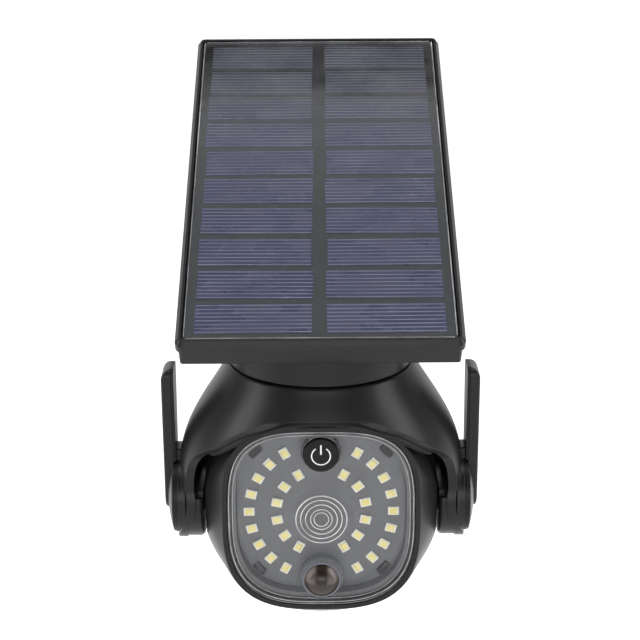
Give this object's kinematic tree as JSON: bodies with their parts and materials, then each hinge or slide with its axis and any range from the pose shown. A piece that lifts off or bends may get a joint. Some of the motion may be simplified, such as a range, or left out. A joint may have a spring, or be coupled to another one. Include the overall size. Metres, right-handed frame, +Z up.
{
  "type": "solar motion sensor security light",
  "caption": "Solar security light shaped like a pan-tilt camera: sloped panel, neck, swivelling hood with two antenna blades, and a tilting ball head with LEDs, motion sensor and push button.",
  "frame": {"origin": "centre of the wall plate's four screw holes, on the wall face", "axes": "+Z up, +Y into the wall, the light looks along -Y, +X to the right seen from the front"},
  "size_m": [0.1028, 0.147, 0.1734],
  "materials": {
    "black_plastic": "satin moulded",
    "dark_plastic": "satin moulded",
    "bracket_plastic": "satin moulded",
    "inner_plastic": "plain moulded",
    "grey_plastic": "fine matte",
    "cell_silicon": "blue silicon strips with fine silver lines",
    "board_dark": "dark laminate",
    "glaze_clear": "clear resin",
    "window_clear": "clear polycarbonate with moulded rings",
    "dome_smoky": "smoked dome",
    "ring_grey_blue": "satin",
    "led_white": "white package",
    "led_yellow": "phosphor gel",
    "icon_white": "printed mark",
    "steel": "bright zinc",
    "black_steel": "black oxide",
    "brass": "plain",
    "rubber": "soft",
    "board_green": "solder mask",
    "chip_black": "moulded",
    "cell_wrap": "shrink sleeve",
    "tin": "bright can",
    "lead_black": "cable sheath"
  },
  "bodies": {
    "root": {"panel_frame": "black_plastic", "panel_tray": "black_plastic", "panel_gasket": "rubber", "solar_backsheet": "board_dark", "solar_cells": "cell_silicon", "solar_glaze": "glaze_clear", "panel_screws": "black_steel", "panel_terminal": "inner_plastic", "panel_lead": "lead_black", "neck_collar": "black_plastic", "neck_screws": "steel", "pan_washer": "dark_plastic", "pan_nut": "inner_plastic", "wall_plate": "bracket_plastic", "bracket_arm": "bracket_plastic", "bracket_screws": "steel"},
    "yoke": {"hood_shell": "black_plastic", "hood_liner": "dark_plastic", "liner_screws": "steel", "arm_cover_left": "black_plastic", "arm_cover_right": "black_plastic", "arm_cover_screws": "black_steel", "tilt_pin_left": "steel", "tilt_pin_right": "steel", "pin_clips": "steel", "tilt_washers": "rubber", "hub_rings": "dark_plastic", "antenna_screws": "black_steel"},
    "head": {"front_shell": "black_plastic", "rear_shell": "black_plastic", "shell_seal": "rubber", "shell_screws": "black_steel", "tilt_bushes": "brass", "lens_cover": "window_clear", "cover_seal": "rubber", "face_plate": "grey_plastic", "cover_clips": "dark_plastic", "led_board": "grey_plastic", "led_packages": "led_white", "led_phosphors": "led_yellow", "pir_ring": "ring_grey_blue", "pir_lens": "dome_smoky", "pir_sensor": "tin", "tact_switch": "chip_black", "control_board": "board_green", "board_parts": "chip_black", "battery_cell": "cell_wrap", "battery_holder": "inner_plastic", "lead_grommet": "rubber", "head_lead": "lead_black"},
    "button": {"button_cap": "dark_plastic", "button_icon": "icon_white"},
    "antenna_left": {"antenna_left": "black_plastic", "antenna_back_left": "dark_plastic"},
    "antenna_right": {"antenna_right": "black_plastic", "antenna_back_right": "dark_plastic"}
  },
  "joints": [
    {"name": "pan", "type": "hinge", "parent": "root", "child": "yoke", "pos_m": [0, -0.112, -0.064], "axis": [0, 0, 1], "range_deg": [-170, 170]},
    {"name": "tilt", "type": "hinge", "parent": "yoke", "child": "head", "pos_m": [0, -0.112, -0.064], "axis": [1, 0, 0], "range_deg": [-10, 60]},
    {"name": "button_press", "type": "slide", "parent": "head", "child": "button", "axis": [0, 1, 0], "range_m": [0, 0.0008], "stiffness_N_per_m": 1500},
    {"name": "antenna_left_swing", "type": "hinge", "parent": "yoke", "child": "antenna_left", "pos_m": [-0.048, -0.112, -0.064], "axis": [1, 0, 0], "range_deg": [-90, 90]},
    {"name": "antenna_right_swing", "type": "hinge", "parent": "yoke", "child": "antenna_right", "pos_m": [0.048, -0.112, -0.064], "axis": [1, 0, 0], "range_deg": [-90, 90]}
  ]
}
